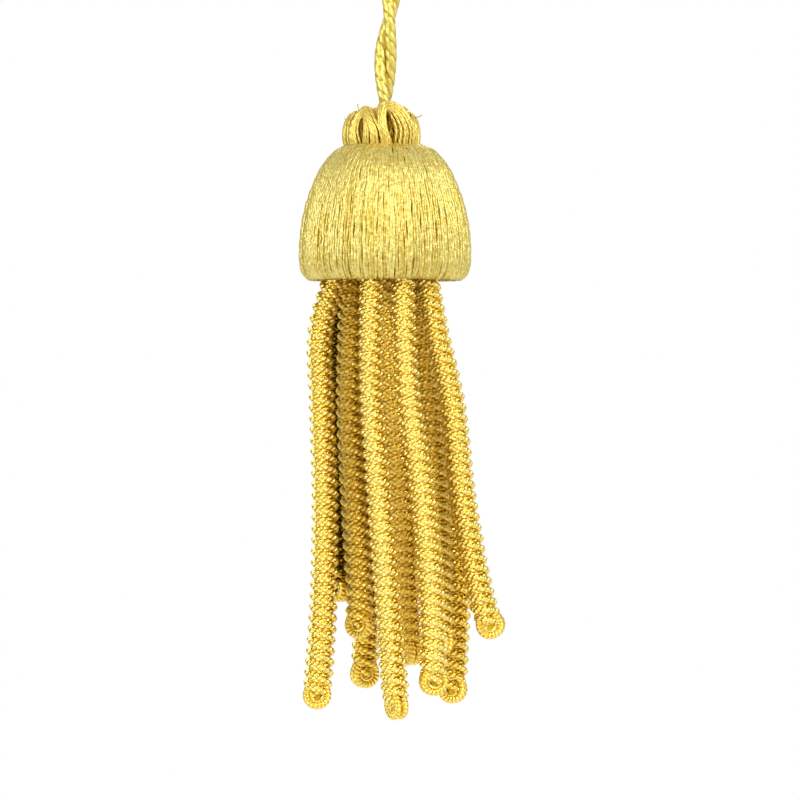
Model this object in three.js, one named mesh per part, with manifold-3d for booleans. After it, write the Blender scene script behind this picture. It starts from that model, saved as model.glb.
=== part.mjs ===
import * as THREE from "three";
import { mergeVertices } from "three/addons/utils/BufferGeometryUtils.js";
import Module from "manifold-3d";

const wasm = await Module();
wasm.setup();
const SAME_POINT = 1e-5;

// Sizes are millimetres, with +Z up and the front of the tassel facing -Y.
// The origin is where a hook bears on the inside of the hanging loop.

// Hanging loop, one cord doubled, its two legs turned round each other
const CORD_DIAMETER = 2.05;
const CORD_SIDES = 8;
const CORD_STEPS = 56;
const LEG_OFFSET = 1.1;
const LEG_TURN_LEAD = 34;
const LEGS_SIDE_BY_SIDE_Z = -36;
const LEGS_PART_Z = -23.05;
const LOOP_RADIUS = 4.6;
const LOOP_FACE_TURN = -Math.PI;
const LOOP_TOP_Z = CORD_DIAMETER / 2;
const CORD_FOOT_Z = -52.7;
const SWAY = 1.2;
const SWAY_Z = -23;
const SWAY_HEIGHT = 8;
const LEG_POINTS = 13;
const PARTING_POINTS = 7;
const ARC_POINTS = 5;

// Crown, bunches of looped yarn round the foot of the cord
const CROWN_FOOT_Z = -53.1;
const CROWN_BORE_RADIUS = 2.65;
const CROWN_SIDES = 24;
const BUNCH_YARN_WIDTH = 0.85;
const BUNCH_YARN_SIDES = 4;
const BUNCH_LOOP_STEPS = 8;
const BUNCH_NECK_SHARE = 0.92;
const BUNCH_SWELL = 0.3;
const BUNCH_DRAW_IN = 0.47;
const BUNCH_FULLNESS = 0.8;
const BUNCH_ARCH = 1.8;
const BUNCH_EYE_HALF_WIDTH = 1.05;
const BUNCH_FOOT_SHARE = 0.35;
const BUNCH_FOOT_HEIGHT = 3.5;
const CROWN_CORE = [
  { radius: CROWN_BORE_RADIUS, z: CROWN_FOOT_Z },
  { radius: 7.2, z: CROWN_FOOT_Z },
  { radius: 7.2, z: -52.3 },
  { radius: 6.4, z: -51.7 },
  { radius: 6.2, z: -49.0 },
  { radius: 5.0, z: -47.2 },
  { radius: CROWN_BORE_RADIUS, z: -46.6 },
  { radius: CROWN_BORE_RADIUS, z: CROWN_FOOT_Z },
];
// Each bunch's turn round the cord in degrees, its rise and reach, the widths of its legs at the foot,
// the share of them left at the top, and how far the top leans aside
const CROWN_BUNCHES = [
  { turn: -129, rise: 7.6, reach: 7.7, leftLeg: 3.2, rightLeg: 3.9, topShare: 0.5, lean: -0.3 },
  { turn: -76, rise: 8.6, reach: 7.5, leftLeg: 1.4, rightLeg: 4.3, topShare: 1, lean: -1.2 },
  { turn: -8, rise: 6.8, reach: 6.6, leftLeg: 2.4, rightLeg: 2.6, topShare: 0.8, lean: 0 },
  { turn: 52, rise: 8.2, reach: 7.4, leftLeg: 2.8, rightLeg: 3.4, topShare: 0.6, lean: 0.3 },
  { turn: 114, rise: 7.8, reach: 7.6, leftLeg: 2.2, rightLeg: 3.6, topShare: 0.8, lean: -0.6 },
  { turn: 176, rise: 7.0, reach: 8.2, leftLeg: 2.4, rightLeg: 2.6, topShare: 0.8, lean: 0 },
];
const BUNCH_LOOP_SHARES = [0.1, 0.5, 0.9];

// Head, a bell covered with upright yarns, hollow underneath
const HEAD_RIBS = 68;
const HEAD_RIB_RELIEF = 0.35;
const HEAD_BELL = [
  { radius: 15.5, z: -79.9 },
  { radius: 16.6, z: -78.8 },
  { radius: 17.2, z: -75.6 },
  { radius: 17.1, z: -72.0 },
  { radius: 16.6, z: -68.0 },
  { radius: 15.6, z: -64.0 },
  { radius: 14.1, z: -60.1 },
  { radius: 11.7, z: -56.0 },
  { radius: 9.8, z: -54.1 },
  { radius: 8.2, z: -53.6 },
];
const HEAD_TOP_Z = -53.4;
const HEAD_TOP_RADIUS = 7.0;
const HEAD_RECESS_RADIUS = 14.9;
const HEAD_RECESS_Z = -76.0;

// Skirt, bullion strands held by a round heading inside the head
const HEADING_RADIUS = 14.5;
const HEADING_TOP_Z = -76.35;
const HEADING_DEPTH = 3.2;
const HEADING_SIDES = 36;
const STRAND_ROOT_RADIUS = 2.55;
const STRAND_TIP_RADIUS = 2.88;
const STRAND_SIDES = 4;
const STRAND_LEAD = 10.4;
const STRAND_STEPS_A_TURN = 12;
const STRAND_ROOT_Z = -78.0;
const STRAND_HEIGHTS = [STRAND_ROOT_Z, -90, -104, -124, -144];
const STRAND_END_LENGTH = 2.4;
const STRAND_END_SHARE = 0.4;

// Each strand's place across and in depth at the heights above and then at its tip
const STRANDS = [
  { across: [-9.4, -12.8, -12.55, -11.9, -12.2, -13.7], depth: [-4.5, -5, -5, -5, -5, -5], tip: -165.4 },
  { across: [-6.8, -7, -7.2, -6.2, -5, -5.2], depth: [1, 0.5, 0, 0, -0.5, -0.5], tip: -151.6 },
  { across: [-2.6, -2.7, -2.5, -1, 0.6, 2.5], depth: [-11, -11.3, -11.3, -11, -10.5, -10.5], tip: -167.2 },
  { across: [0.6, 0.8, 1.4, 3, 4.4, 5.2], depth: [-3, -3, -3.5, -3.5, -3.5, -3.5], tip: -156.8 },
  { across: [3.6, 3.8, 4.8, 7.7, 9.3, 9.7], depth: [-10.7, -11, -11.3, -11, -10.5, -10.5], tip: -162.4 },
  { across: [7, 7.2, 9, 10.6, 10.9, 10.9], depth: [-1.2, -2, -2.5, -2.5, -2.5, -2.5], tip: -155 },
  { across: [8, 10.2, 13.3, 15.6, 19.4, 22], depth: [-7.2, -7.5, -7, -6.5, -6, -6], tip: -151.2 },
  { across: [8.2, 9.8, 12.4, 14.1, 14.5, 13.4], depth: [4.4, 3.6, 3, 2.6, 2.5, 2.5], tip: -164.7 },
  { across: [-2, -3.2, -3.6, -3.8, -3.6, -4.2], depth: [5.5, 5.5, 5.4, 5.6, 5.7, 5.7], tip: -161.8 },
  { across: [-9.5, -9.8, -9.8, -9.6, -9.3, -9.3], depth: [6.8, 7, 7, 7, 7, 7], tip: -144.6 },
  { across: [-5, -3.4, -0.8, 0.9, 2.3, 2.4], depth: [10.6, 12.2, 13, 13.2, 13.4, 13.4], tip: -149 },
  { across: [0.7, 3.3, 5.5, 5.8, 7.2, 7.4], depth: [11.6, 11.2, 9.9, 9.8, 10, 10], tip: -143.5 },
  { across: [6.5, 9, 11.2, 11.5, 13.1, 13.3], depth: [10, 9.6, 9.2, 8.4, 8.4, 8.4], tip: -158 },
];

// Colours of the yarns
const LEMON_GOLD = 0xd8c064;
const DEEP_GOLD = 0xc8962c;
const YARN_ROUGHNESS = 0.45;
const YARN_METALNESS = 0.3;

function solidOf(geometry) {
  const bare = geometry.clone();
  bare.deleteAttribute("normal");
  bare.deleteAttribute("uv");
  const merged = mergeVertices(bare, SAME_POINT);
  const corners = merged.index.array;
  const kept = [];
  for (let i = 0; i < corners.length; i += 3) {
    const [a, b, c] = [corners[i], corners[i + 1], corners[i + 2]];
    if (a !== b && b !== c && a !== c) {
      kept.push(a, b, c);
    }
  }
  const mesh = new wasm.Mesh({
    numProp: 3,
    vertProperties: new Float32Array(merged.attributes.position.array),
    triVerts: new Uint32Array(kept),
  });
  return new wasm.Manifold(mesh);
}

function pieceOf(name, solid, colour) {
  const mesh = solid.getMesh();
  const geometry = new THREE.BufferGeometry();
  geometry.setAttribute("position", new THREE.BufferAttribute(new Float32Array(mesh.vertProperties), 3));
  geometry.setIndex(new THREE.BufferAttribute(new Uint32Array(mesh.triVerts), 1));
  geometry.computeVertexNormals();
  const material = new THREE.MeshStandardMaterial({
    color: colour,
    roughness: YARN_ROUGHNESS,
    metalness: YARN_METALNESS,
  });
  const piece = new THREE.Mesh(geometry, material);
  piece.name = name;
  return piece;
}

function polygon(sides, radius) {
  const shape = new THREE.Shape();
  for (let k = 0; k < sides; k++) {
    const turn = (2 * Math.PI * (k + 0.5)) / sides;
    const x = radius * Math.cos(turn);
    const y = radius * Math.sin(turn);
    if (k === 0) {
      shape.moveTo(x, y);
    } else {
      shape.lineTo(x, y);
    }
  }
  shape.closePath();
  return shape;
}

function tubeAlong(points, sides, radius, steps) {
  const path = new THREE.CatmullRomCurve3(points);
  return new THREE.ExtrudeGeometry(polygon(sides, radius), {
    steps,
    bevelEnabled: false,
    extrudePath: path,
  });
}

function turned(profile, sides) {
  const points = profile.map(({ radius, z }) => new THREE.Vector2(radius, z));
  return new THREE.LatheGeometry(points, sides).rotateX(Math.PI / 2);
}

// One leg of the hanging loop, from its foot in the crown up to the top of the loop
function legRoute(side) {
  const route = [];
  const rate = (-2 * Math.PI) / LEG_TURN_LEAD;
  const start = side > 0 ? 0 : Math.PI;
  const put = (offset, turn, z) => {
    const sway = SWAY * Math.exp(-(((z - SWAY_Z) / SWAY_HEIGHT) ** 2));
    route.push(new THREE.Vector3(sway + offset * Math.cos(turn), offset * Math.sin(turn), z));
  };
  for (let k = 0; k < LEG_POINTS; k++) {
    const z = THREE.MathUtils.lerp(CORD_FOOT_Z, LEGS_PART_Z, k / LEG_POINTS);
    put(LEG_OFFSET, start + rate * (z - LEGS_SIDE_BY_SIDE_Z), z);
  }
  const arcZ = LOOP_TOP_Z - LOOP_RADIUS;
  const partTurn = start + rate * (LEGS_PART_Z - LEGS_SIDE_BY_SIDE_Z);
  const partHeight = arcZ - LEGS_PART_Z;
  const lastTurn = start + LOOP_FACE_TURN;
  for (let k = 0; k < PARTING_POINTS; k++) {
    const share = k / PARTING_POINTS;
    const offset = THREE.MathUtils.lerp(LEG_OFFSET, LOOP_RADIUS, THREE.MathUtils.smoothstep(share, 0, 1));
    const turn = THREE.MathUtils.lerp(partTurn, lastTurn, share * (2 - share));
    put(offset, turn, LEGS_PART_Z + share * partHeight);
  }
  for (let k = 0; k < ARC_POINTS; k++) {
    const bend = ((Math.PI / 2) * k) / ARC_POINTS;
    put(LOOP_RADIUS * Math.cos(bend), lastTurn, arcZ + LOOP_RADIUS * Math.sin(bend));
  }
  return route;
}

function hangingLoop() {
  const top = new THREE.Vector3(0, 0, LOOP_TOP_Z);
  const route = [...legRoute(1), top, ...legRoute(-1).reverse()];
  return solidOf(tubeAlong(route, CORD_SIDES, CORD_DIAMETER / 2, CORD_STEPS));
}

// How far out a bunch stands at a share of its height, drawn in at the neck and over the top
function bunchReach(share) {
  return BUNCH_NECK_SHARE + BUNCH_SWELL * share - BUNCH_DRAW_IN * share * share;
}

// One loop of a bunch, from the loop round its eye at share 0 to its outermost loop at share 1
function bunchLoop(bunch, share) {
  const points = [];
  const middle = THREE.MathUtils.degToRad(bunch.turn);
  const rise = bunch.rise - BUNCH_ARCH * (1 - share);
  for (let k = 0; k <= BUNCH_LOOP_STEPS; k++) {
    const swing = (Math.PI * k) / BUNCH_LOOP_STEPS;
    const up = rise * Math.pow(Math.sin(swing), BUNCH_FULLNESS);
    const out = bunch.reach * bunchReach(up / bunch.rise);
    const leg = Math.cos(swing) < 0 ? bunch.leftLeg : bunch.rightLeg;
    const opened = THREE.MathUtils.smoothstep(up, 0, BUNCH_FOOT_HEIGHT);
    const eye = BUNCH_EYE_HALF_WIDTH * THREE.MathUtils.lerp(BUNCH_FOOT_SHARE, 1, opened);
    const high = THREE.MathUtils.smoothstep(up, 0, bunch.rise);
    const width = eye + leg * share * THREE.MathUtils.lerp(1, bunch.topShare, high);
    const aside = width * Math.cos(swing) + bunch.lean * high;
    const turn = middle + aside / out;
    const z = CROWN_FOOT_Z + BUNCH_YARN_WIDTH / 2 + up;
    points.push(new THREE.Vector3(out * Math.cos(turn), out * Math.sin(turn), z));
  }
  return solidOf(tubeAlong(points, BUNCH_YARN_SIDES, BUNCH_YARN_WIDTH / Math.SQRT2, BUNCH_LOOP_STEPS));
}

function crown() {
  let solid = solidOf(turned(CROWN_CORE, CROWN_SIDES));
  for (const bunch of CROWN_BUNCHES) {
    for (const share of BUNCH_LOOP_SHARES) {
      solid = solid.add(bunchLoop(bunch, share));
    }
  }
  return solid;
}

function head() {
  const hollow = [
    { radius: 0, z: HEAD_RECESS_Z },
    { radius: HEAD_RECESS_RADIUS, z: HEAD_RECESS_Z },
    { radius: HEAD_RECESS_RADIUS, z: HEAD_BELL[0].z },
  ];
  const top = [
    { radius: HEAD_TOP_RADIUS, z: HEAD_TOP_Z },
    { radius: 0, z: HEAD_TOP_Z },
  ];
  const profile = [...hollow, ...HEAD_BELL, ...top];
  const onBell = (row) => row >= hollow.length && row < hollow.length + HEAD_BELL.length;
  const geometry = turned(profile, 2 * HEAD_RIBS);
  const place = geometry.attributes.position;
  for (let i = 0; i < place.count; i++) {
    const step = Math.floor(i / profile.length);
    const row = i % profile.length;
    if (onBell(row) && step % 2 === 1) {
      const radius = Math.hypot(place.getX(i), place.getY(i));
      const share = (radius - HEAD_RIB_RELIEF) / radius;
      place.setXY(i, place.getX(i) * share, place.getY(i) * share);
    }
  }
  return solidOf(geometry);
}

// A strand, square in section and turned along its length so that its edges run as the rope's twist
function strand({ across, depth, tip }) {
  const heights = [...STRAND_HEIGHTS, tip];
  const route = heights.map((z, k) => new THREE.Vector3(across[k], depth[k], z));
  const path = new THREE.CatmullRomCurve3(route);
  const length = path.getLength();
  const steps = Math.round((length / STRAND_LEAD) * STRAND_STEPS_A_TURN);
  const geometry = new THREE.ExtrudeGeometry(polygon(STRAND_SIDES, 1), {
    depth: 1,
    steps,
    bevelEnabled: false,
  });
  const place = geometry.attributes.position;
  for (let i = 0; i < place.count; i++) {
    const share = place.getZ(i);
    const middle = path.getPointAt(share);
    const along = path.getTangentAt(share);
    const side = new THREE.Vector3(0, 1, 0).cross(along).normalize();
    const front = along.clone().cross(side);
    const turn = (-2 * Math.PI * share * length) / STRAND_LEAD;
    const left = Math.max(0, 1 - ((1 - share) * length) / STRAND_END_LENGTH);
    const rounding = THREE.MathUtils.lerp(STRAND_END_SHARE, 1, Math.sqrt(1 - left * left));
    const radius = rounding * THREE.MathUtils.lerp(STRAND_ROOT_RADIUS, STRAND_TIP_RADIUS, share);
    const u = radius * (place.getX(i) * Math.cos(turn) - place.getY(i) * Math.sin(turn));
    const v = radius * (place.getX(i) * Math.sin(turn) + place.getY(i) * Math.cos(turn));
    middle.addScaledVector(side, u).addScaledVector(front, v);
    place.setXYZ(i, middle.x, middle.y, middle.z);
  }
  return solidOf(geometry);
}

function skirt() {
  const disc = new THREE.CylinderGeometry(HEADING_RADIUS, HEADING_RADIUS, HEADING_DEPTH, HEADING_SIDES);
  disc.rotateX(Math.PI / 2).translate(0, 0, HEADING_TOP_Z - HEADING_DEPTH / 2);
  let solid = solidOf(disc);
  for (const row of STRANDS) {
    solid = solid.add(strand(row));
  }
  return solid;
}

const tassel = new THREE.Group();
tassel.name = "bullion_tassel";
tassel.add(pieceOf("hanging_loop", hangingLoop(), LEMON_GOLD));
tassel.add(pieceOf("crown", crown(), LEMON_GOLD));
tassel.add(pieceOf("head", head(), LEMON_GOLD));
tassel.add(pieceOf("skirt", skirt(), DEEP_GOLD));

export default tassel;
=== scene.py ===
import math

import bpy
import numpy as np
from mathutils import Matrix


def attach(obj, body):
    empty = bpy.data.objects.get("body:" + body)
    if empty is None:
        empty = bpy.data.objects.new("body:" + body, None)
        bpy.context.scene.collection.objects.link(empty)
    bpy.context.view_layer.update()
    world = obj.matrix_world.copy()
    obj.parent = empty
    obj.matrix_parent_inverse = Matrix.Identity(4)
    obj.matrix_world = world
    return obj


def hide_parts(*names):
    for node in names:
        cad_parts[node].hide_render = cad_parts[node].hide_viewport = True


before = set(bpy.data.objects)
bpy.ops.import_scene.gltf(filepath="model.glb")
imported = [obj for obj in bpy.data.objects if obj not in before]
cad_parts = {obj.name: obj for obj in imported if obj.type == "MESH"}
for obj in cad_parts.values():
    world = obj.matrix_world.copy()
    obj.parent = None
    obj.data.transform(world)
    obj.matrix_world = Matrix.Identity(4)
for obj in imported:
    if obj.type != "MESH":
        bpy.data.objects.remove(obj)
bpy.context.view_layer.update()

bl_info = {
    "name": "Bullion Tassel",
    "version": (1, 0, 0),
    "blender": (4, 5, 0),
    "location": "View3D > Sidebar > Tassel",
    "description": "Makes a hanging bullion tassel yarn by yarn, and the stage it hangs over",
    "category": "Add Mesh",
}

# Places are metres in the part's own frame, with +Z up and the front facing -Y.
# The tables below are millimetres, and MM brings them to metres.
MM = 0.001
BODY = "root"
TURN = 2 * math.pi
BACKWARD = (0.0, 1.0, 0.0)
LEVEL = (1.0, 1.0, 0.0)
WHITE = (1.0, 1.0, 1.0, 1.0)

# Where each run of random draws starts, so that every run makes the same tassel
SEEDS = {"yarn_map": 5, "crown": 11, "head": 23, "bullion": 37}

# Hanging cord: the route of its two legs and of the loop they end in
CORD = {
    "leg_offset": 1.1,
    "leg_turn_lead": 34.0,
    "legs_side_by_side_z": -36.0,
    "legs_part_z": -23.05,
    "loop_radius": 4.6,
    "loop_face_turn": -math.pi,
    "loop_top_z": 1.025,
    "foot_z": -52.7,
    "sway": 1.2,
    "sway_z": -23.0,
    "sway_height": 8.0,
    "leg_points": 13,
    "parting_points": 7,
    "arc_points": 5,
    "crown_top_z": -46.8,
}
# Hanging cord's plies: the step along them, the points round the cord, how round a ply is, how high
# the valleys between plies are as a share of the radius, the fullness that makes up for them,
# and the tone of a crest, lighter as painted highlight and falling to painted shade in the valleys
CORD_PLIES = {
    "plies": 3, "step": 0.3, "sides": 30, "roundness": 0.97, "valley": 0.76, "fullness": 1.13,
    "crest": 1.2,
}

# Crown: the height of its foot, then each bunch's turn round the cord in degrees, its rise, its reach,
# the widths of its two legs at the foot, the share of them left at the top, and how far the top leans aside
CROWN_FOOT_Z = -53.1
CROWN_BUNCHES = [
    {"turn": -129, "rise": 7.6, "reach": 7.7, "legs": (3.2, 3.9), "top": 0.5, "lean": -0.3},
    {"turn": -76, "rise": 8.6, "reach": 7.5, "legs": (1.4, 4.3), "top": 1.0, "lean": -1.2},
    {"turn": -8, "rise": 6.8, "reach": 6.6, "legs": (2.4, 2.6), "top": 0.8, "lean": 0.0},
    {"turn": 52, "rise": 8.2, "reach": 7.4, "legs": (2.8, 3.4), "top": 0.6, "lean": 0.3},
    {"turn": 114, "rise": 7.8, "reach": 7.6, "legs": (2.2, 3.6), "top": 0.8, "lean": -0.6},
    {"turn": 176, "rise": 7.0, "reach": 8.2, "legs": (2.4, 2.6), "top": 0.8, "lean": 0.0},
]
# Looped yarns of a bunch, nested from the smallest to the largest: the points on an arch, the steps along
# the finished yarn, how much lower the smallest is, the half width of the eye in the middle, its share
# at the foot and the rise at which it is full, how the reach swells and closes with the rise, how far
# the inner layer lies behind the outer one, and how much darker it is painted, as shade behind it
CROWN_LOOP = {
    "points": 60, "steps": 44, "sides": 6, "foot_sink": 0.2, "largest": 1.1, "nesting": 1.8, "arch": 0.8,
    "eye": 1.05, "eye_foot": 0.35, "eye_rise": 3.5,
    "reach_foot": 0.92, "reach_swell": 0.3, "reach_close": 0.47,
    "bulge": 0.5, "layer_gap": 0.9, "inner_shade": 0.6,
}
# Chance in a looped yarn's size, drift and layer, and the spans of its thickness and tone
CROWN_CHANCE = {"size": 0.3, "drift": 0.14, "layer": 0.3, "thickness": (0.85, 1.15), "tone": (0.3, 1.0)}
# Stray yarn ends on the crown: turn in degrees, height, and lean and rise of the end
CROWN_STRAYS = [
    {"turn": -142, "z": -46.9, "lean": -0.3, "rise": 1.9},
    {"turn": -163, "z": -48.6, "lean": 1.3, "rise": 0.8},
    {"turn": -20, "z": -47.6, "lean": 0.8, "rise": 0.5},
    {"turn": 88, "z": -46.4, "lean": 0.2, "rise": 1.4},
]
STRAY_YARN = {"start": 6.2, "end": 7.2, "points": 9, "thickness": 0.22, "sides": 5, "tone": 0.0}
# Filling yarns inside the crown, from the cord outward and down: their line as radius and height,
# their number, how far they face up, their share of thickness near the cord, the radius at which
# they are full, and the chance in their spacing, slant and height
CROWN_FILL_LINE = [(1.6, -46.2), (3.2, -46.5), (4.7, -47.0), (5.8, -48.9), (6.15, -51.4)]
CROWN_FILL = {
    "yarns": 72, "step": 0.5, "sides": 6, "facing_up": 0.4, "thin": 0.5, "full_radius": 4.0,
    "spacing_chance": 0.8, "slant_chance": 0.5, "height_chance": 0.3,
}
# Plain form behind the crown's yarns, as radius and height
CROWN_CORE = [(6.4, -53.0), (6.0, -51.4), (5.7, -49.0), (4.6, -47.2), (2.6, -46.6)]
CROWN_CORE_SIDES = 32

# Head: the outer line of the yarns from the neck, over the bell and under the rim
HEAD_LINE = [
    (6.2, -52.9), (8.2, -53.3), (9.8, -54.1), (11.7, -56.0), (13.1, -58.0), (14.1, -60.1), (15.6, -64.0),
    (16.6, -68.0), (17.1, -72.0), (17.2, -75.4), (16.95, -77.8), (16.2, -79.2), (15.2, -79.9),
    (14.3, -79.3),
]
# Upright yarns: the chance in their spacing, how far they wander aside as a share of their spacing
# and how much more near the neck, their share of thickness on the axis, how far they lift and ripple,
# which share of them lies sunk, from where on, and how deep, the span of their tone, and how much
# darker a sunk yarn is painted, as shade between its neighbours
HEAD_YARN = {
    "step": 0.7, "sides": 6, "spacing_chance": 0.25, "wander": 0.13, "wander_lengths": (6.0, 13.0),
    "wander_stretch": (0.8, 1.2), "neck_wander": 2.5, "neck_length": 7.0, "axis_share": 0.45,
    "thickness": (0.9, 1.1), "lift": (-0.072, 0.048), "ripple": 0.08, "ripple_length": 2.6,
    "sunk_share": 0.44, "sunk_from": 10.0, "sunk_over": 9.0, "sunk_neck": 6.0, "sunk_depth": 0.2,
    "tone": (0.3, 1.0), "sunk_shade": 1.1,
}
# Plain form behind the head's yarns, as radius and height
HEAD_MOULD = [
    (6.0, -53.3), (9.2, -54.7), (11.1, -56.7), (13.4, -60.6), (14.9, -64.4), (15.9, -68.4), (16.5, -73.6),
    (16.3, -77.6), (15.0, -79.0),
]
HEAD_MOULD_SIDES = 64

# Skirt: heights of the strands' points, then each strand's place across and in depth
# at those heights and at its tip, the turn of its end loop's face in degrees, and how much
# painted shade its front takes inside the skirt
STRAND_HEIGHTS = [-78.0, -90.0, -104.0, -124.0, -144.0]
STRANDS = [
    {"across": [-9.4, -12.8, -12.55, -11.9, -12.2, -13.7], "depth": [-4.5, -5, -5, -5, -5, -5],
     "tip": -165.4, "face": 0, "skirt_shade": 0},
    {"across": [-6.8, -7, -7.2, -6.2, -5, -5.2], "depth": [1, 0.5, 0, 0, -0.5, -0.5],
     "tip": -151.6, "face": 20, "skirt_shade": 0},
    {"across": [-2.6, -2.7, -2.5, -1, 0.6, 2.5], "depth": [-11, -11.3, -11.3, -11, -10.5, -10.5],
     "tip": -167.2, "face": 62, "skirt_shade": 0},
    {"across": [0.6, 0.8, 1.4, 3, 4.4, 5.2], "depth": [-3, -3, -3.5, -3.5, -3.5, -3.5],
     "tip": -156.8, "face": 60, "skirt_shade": 0},
    {"across": [3.6, 3.8, 4.8, 7.7, 9.3, 9.7], "depth": [-10.7, -11, -11.3, -11, -10.5, -10.5],
     "tip": -162.4, "face": -12, "skirt_shade": 0},
    {"across": [7, 7.2, 9, 10.6, 10.9, 10.9], "depth": [-1.2, -2, -2.5, -2.5, -2.5, -2.5],
     "tip": -155, "face": 40, "skirt_shade": 0},
    {"across": [8, 10.2, 13.3, 15.6, 19.4, 22], "depth": [-7.2, -7.5, -7, -6.5, -6, -6],
     "tip": -151.2, "face": 10, "skirt_shade": 0},
    {"across": [8.2, 9.8, 12.4, 14.1, 14.5, 13.4], "depth": [4.4, 3.6, 3, 2.6, 2.5, 2.5],
     "tip": -164.7, "face": 15, "skirt_shade": 0},
    {"across": [-2, -3.2, -3.6, -3.8, -3.6, -4.2], "depth": [5.5, 5.5, 5.4, 5.6, 5.7, 5.7],
     "tip": -161.8, "face": -25, "skirt_shade": 0.3},
    {"across": [-9.5, -9.8, -9.8, -9.6, -9.3, -9.3], "depth": [6.8, 7, 7, 7, 7, 7],
     "tip": -144.6, "face": 50, "skirt_shade": 1},
    {"across": [-5, -3.4, -0.8, 0.9, 2.3, 2.4], "depth": [10.6, 12.2, 13, 13.2, 13.4, 13.4],
     "tip": -149, "face": 0, "skirt_shade": 0},
    {"across": [0.7, 3.3, 5.5, 5.8, 7.2, 7.4], "depth": [11.6, 11.2, 9.9, 9.8, 10, 10],
     "tip": -143.5, "face": -35, "skirt_shade": 0},
    {"across": [6.5, 9, 11.2, 11.5, 13.1, 13.3], "depth": [10, 9.6, 9.2, 8.4, 8.4, 8.4],
     "tip": -158, "face": 30, "skirt_shade": 0},
]
# Heading under the rim that holds the strands' roots, as radius and height
HEADING_LINE = [(13.4, -79.4), (14.2, -79.1), (14.3, -76.8), (13.6, -76.5)]
HEADING_SIDES = 48

# Stage: the camera, then each light's place in metres, its turn in degrees, its size and its power
CAMERA = {"place": (0.003, -1.0, -0.104), "film": 36.0, "lens": 225.0}
LIGHTS = [
    {"name": "key_light", "place": (0.68, -0.58, 0.4), "turn": (61, 0, 50), "size": 0.4, "power": 7.1},
    {"name": "fill_light", "place": (-0.72, -0.57, 0.2), "turn": (71, 0, -52), "size": 0.4, "power": 4.9},
    {"name": "side_light", "place": (0.8, -0.05, 0.0), "turn": (0, 84, 0), "size": 0.5, "power": 0.4},
    {"name": "back_light", "place": (0.0, 0.8, 0.35), "turn": (66, 0, 180), "size": 0.5, "power": 4.0},
]
STUDIO_STRENGTH = 0.63
FLOOR = {"sides": 96, "thickness": 4.0, "edge": 1.0, "roughness": 0.8}


def length_size(name, description, millimetres):
    """A size in the sidebar, given here in millimetres."""
    return bpy.props.FloatProperty(
        name=name, description=description, default=millimetres * MM, min=0.0, precision=5, unit="LENGTH"
    )


def yarn_colour(name, description, colour):
    """A colour in the sidebar, as linear red, green and blue."""
    return bpy.props.FloatVectorProperty(
        name=name, description=description, default=colour, size=3, min=0.0, max=1.0, subtype="COLOR"
    )


class TasselSizes(bpy.types.PropertyGroup):
    """Sizes of the tassel's cord, yarns and strands."""

    cord_diameter: length_size("Cord diameter", "Across one leg of the hanging cord", 2.05)
    cord_lay: length_size("Cord lay", "Length in which the cord's plies turn once", 7.4)
    crown_yarn: length_size("Crown yarn", "Across one looped yarn of the crown", 0.62)
    head_yarn: length_size("Head yarn", "Across one upright yarn where the head is widest", 0.77)
    strand_root: length_size("Strand at the head", "Across a bullion strand where it leaves the head", 5.1)
    strand_tip: length_size("Strand at its end", "Across a bullion strand above its end loop", 5.95)
    strand_lay: length_size("Strand lay", "Length in which a strand's yarns turn once", 8.8)
    leaf_yarn: length_size("Smooth yarn", "Across the smooth yarn of a strand's ply", 1.05)
    leaf_sink: length_size("Smooth yarn's depth", "From a ply's middle inward to its smooth yarn", 0.25)
    ridged_yarn: length_size("Ridged yarn", "Across each of a ply's two ridged yarns", 1.15)
    groove_yarn: length_size("Groove yarn", "Across the yarn between two plies of a strand", 1.5)
    groove_sink: length_size("Groove yarn's depth", "From a strand's outside to a groove yarn", 0.85)
    ply_spread: length_size("Ply spread", "From a ply's middle to the middle of its ridged yarns", 0.52)
    end_loop: length_size("End loop", "Across the rounded end of a strand", 5.7)
    floor_radius: length_size("Floor radius", "Radius of the round floor under the tassel", 420.0)
    floor_drop: length_size("Floor drop", "Height of the hanging point over the floor", 262.0)
    crown_loops: bpy.props.IntProperty(
        name="Crown loops", description="Looped yarns in each of a bunch's two layers", default=7, min=3
    )
    head_yarns: bpy.props.IntProperty(
        name="Head yarns", description="Upright yarns round the head", default=176, min=24
    )


class TasselColours(bpy.types.PropertyGroup):
    """Colours of the yarns and of the stage."""

    # The light colours are the yarns' gold on crests, lightened as painted highlight, and the deep ones
    # their gold darkened as painted shade in valleys
    cord_light: yarn_colour("Cord light", "Crests of the cord", (0.77, 0.63, 0.145))
    cord_deep: yarn_colour("Cord deep", "Valleys of the cord", (0.47, 0.335, 0.033))
    crown_light: yarn_colour("Crown light", "Crests of the crown's yarns", (0.84, 0.67, 0.17))
    crown_deep: yarn_colour("Crown deep", "Valleys of the crown's yarns", (0.6, 0.39, 0.045))
    crown_core: yarn_colour("Crown core", "Yarn in the shade inside the crown", (0.3, 0.17, 0.02))
    head_light: yarn_colour("Head light", "Crests of the head's yarns", (0.745, 0.65, 0.21))
    head_deep: yarn_colour("Head deep", "Valleys of the head's yarns", (0.56, 0.395, 0.055))
    bullion_light: yarn_colour("Bullion light", "Crests of the ridged yarns", (0.93, 0.765, 0.225))
    bullion_deep: yarn_colour("Bullion deep", "Smooth yarns deep in a strand", (0.9, 0.55, 0.025))
    floor: yarn_colour("Floor", "The pale floor", (0.88, 0.88, 0.87))


# Lines that yarns follow


# Points on each stretch of a smooth route before they are spaced evenly
ROUTE_POINTS = 60


def between(chance, span, shape=None):
    """Random values inside a span."""
    low, high = span
    return low + (high - low) * chance.random(shape)


def jitter(chance, span, shape=None):
    """Random values in a span that lies half below nought and half above."""
    return span * (chance.random(shape) - 0.5)


def around(turn, out, z):
    """Points at a turn round the upright axis, at their distance from it and their height."""
    return np.stack(np.broadcast_arrays(out * np.cos(turn), out * np.sin(turn), z), axis=-1)


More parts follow.
